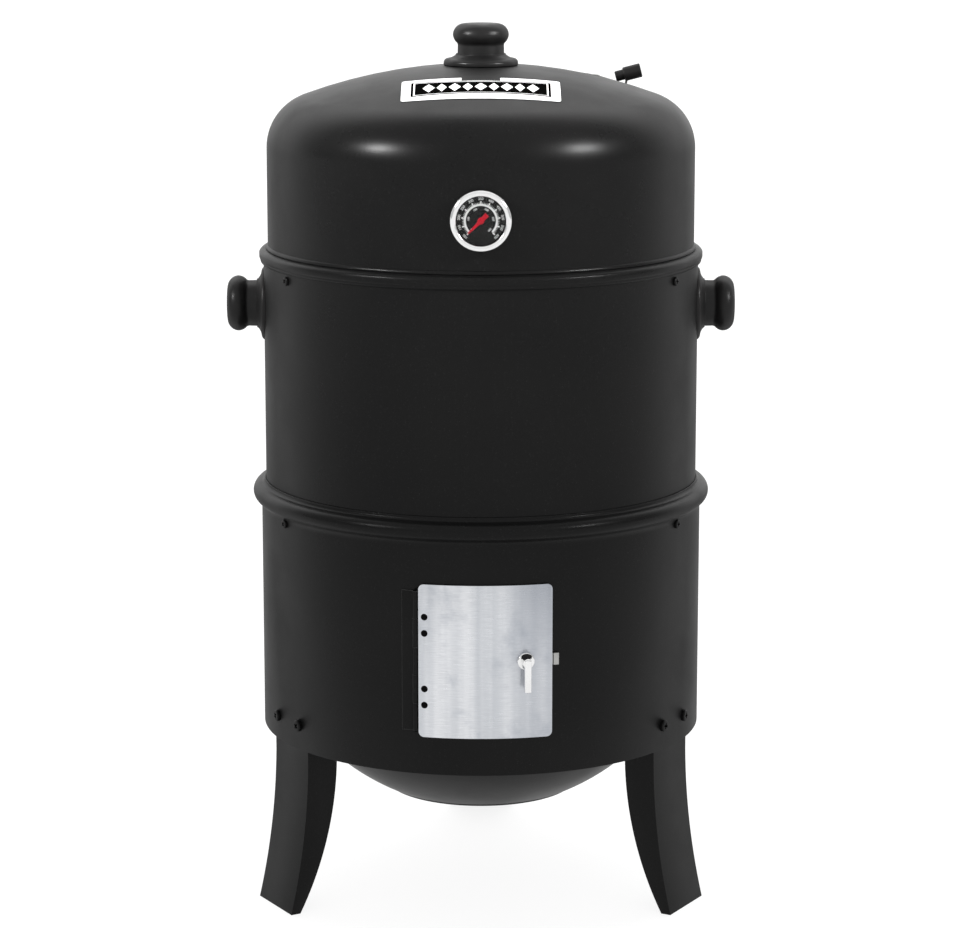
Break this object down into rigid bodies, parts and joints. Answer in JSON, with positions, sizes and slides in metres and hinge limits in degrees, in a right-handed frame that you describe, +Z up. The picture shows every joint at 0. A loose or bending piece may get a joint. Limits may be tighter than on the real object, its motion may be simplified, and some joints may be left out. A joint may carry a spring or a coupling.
{
  "type": "vertical water smoker",
  "caption": "Upright round charcoal smoker with a domed lid, stacked barrels, water pan, grids, side door and flared legs.",
  "frame": {"origin": "on the floor, on the barrels' common axis", "axes": "+Z up, the door and thermometer face -Y, +X to the right seen from the front"},
  "size_m": [0.4746, 0.4449, 0.8148],
  "materials": {
    "black_enamel": "satin black porcelain enamel",
    "black_phenolic": "moulded black phenolic",
    "black_steel": "blackened steel fasteners",
    "zinc_steel": "zinc-plated steel",
    "brushed_stainless": "stainless sheet with a horizontal brushed grain",
    "chrome_plate": "bright chrome plate",
    "clear_glass": "clear flat glass",
    "dial_print": "black dial with white printed scale",
    "red_paint": "red painted pointer",
    "badge_print": "white plate with a plain black panel"
  },
  "bodies": {
    "base": {"lower_barrel": "black_enamel", "hinge_fixed_leaf": "black_enamel", "hinge_pin": "black_steel", "door_keeper": "zinc_steel", "lower_bracket_screws": "black_steel", "lower_bracket_nuts": "zinc_steel", "leg_screws": "black_steel", "leg_nuts": "zinc_steel", "lower_bracket_left": "black_enamel", "lower_bracket_right": "black_enamel", "lower_bracket_rear": "black_enamel", "leg_left": "black_enamel", "leg_right": "black_enamel", "leg_rear": "black_enamel"},
    "charcoal_bowl": {"charcoal_bowl": "black_enamel"},
    "water_pan": {"water_pan": "black_enamel"},
    "lower_grid": {"lower_grid": "chrome_plate"},
    "upper_body": {"upper_barrel": "black_enamel", "side_knob_left": "black_phenolic", "side_knob_right": "black_phenolic", "side_knob_screws": "zinc_steel", "side_knob_washers": "zinc_steel", "upper_bracket_screws": "black_steel", "upper_bracket_nuts": "zinc_steel", "upper_bracket_left": "black_enamel", "upper_bracket_right": "black_enamel", "upper_bracket_rear": "black_enamel"},
    "upper_grid": {"upper_grid": "chrome_plate"},
    "lid": {"lid_shell": "black_enamel", "lid_knob": "black_phenolic", "lid_knob_screw": "zinc_steel", "lid_knob_washer": "zinc_steel", "badge_plate": "badge_print", "thermometer_case": "zinc_steel", "thermometer_bezel": "chrome_plate", "thermometer_lens": "clear_glass", "thermometer_dial": "dial_print", "thermometer_stem": "zinc_steel", "thermometer_nut": "zinc_steel", "thermometer_coil": "zinc_steel", "damper_rivet": "zinc_steel"},
    "damper": {"damper_disc": "black_enamel", "damper_handle": "black_enamel", "damper_grip": "black_phenolic", "damper_spring_washer": "zinc_steel"},
    "needle": {"thermometer_needle": "red_paint"},
    "door": {"door_panel": "brushed_stainless", "hinge_moving_leaf": "zinc_steel", "door_rivets": "black_steel"},
    "latch": {"latch_lever": "chrome_plate", "latch_cam": "zinc_steel", "latch_nut": "zinc_steel"}
  },
  "joints": [
    {"name": "upper_body_lift", "type": "slide", "parent": "base", "child": "upper_body", "axis": [0, 0, 1], "range_m": [0, 0.25]},
    {"name": "lid_lift", "type": "slide", "parent": "upper_body", "child": "lid", "axis": [0, 0, 1], "range_m": [0, 0.25]},
    {"name": "upper_grid_lift", "type": "slide", "parent": "upper_body", "child": "upper_grid", "axis": [0, 0, 1], "range_m": [0, 0.05]},
    {"name": "water_pan_lift", "type": "slide", "parent": "base", "child": "water_pan", "axis": [0, 0, 1], "range_m": [0, 0.06]},
    {"name": "lower_grid_lift", "type": "slide", "parent": "water_pan", "child": "lower_grid", "axis": [0, 0, 1], "range_m": [0, 0.1]},
    {"name": "charcoal_bowl_lift", "type": "slide", "parent": "base", "child": "charcoal_bowl", "axis": [0, 0, 1], "range_m": [0, 0.045]},
    {"name": "damper_turn", "type": "hinge", "parent": "lid", "child": "damper", "pos_m": [0.1097, 0.1023, 0.75386], "axis": [0.2271, 0.2118, 0.9506], "range_deg": [0, 60]},
    {"name": "needle_turn", "type": "hinge", "parent": "lid", "child": "needle", "pos_m": [0, -0.205, 0.6567], "axis": [0, 1, 0], "range_deg": [0, 270], "stiffness_Nm_per_rad": 0.0002},
    {"name": "door_swing", "type": "hinge", "parent": "base", "child": "door", "pos_m": [-0.05886, -0.20127, 0.26], "axis": [0, 0, -1], "range_deg": [0, 110]},
    {"name": "latch_turn", "type": "hinge", "parent": "door", "child": "latch", "pos_m": [0.03954, -0.20339, 0.2613], "axis": [0.1908, -0.9816, 0], "range_deg": [0, 90]}
  ]
}
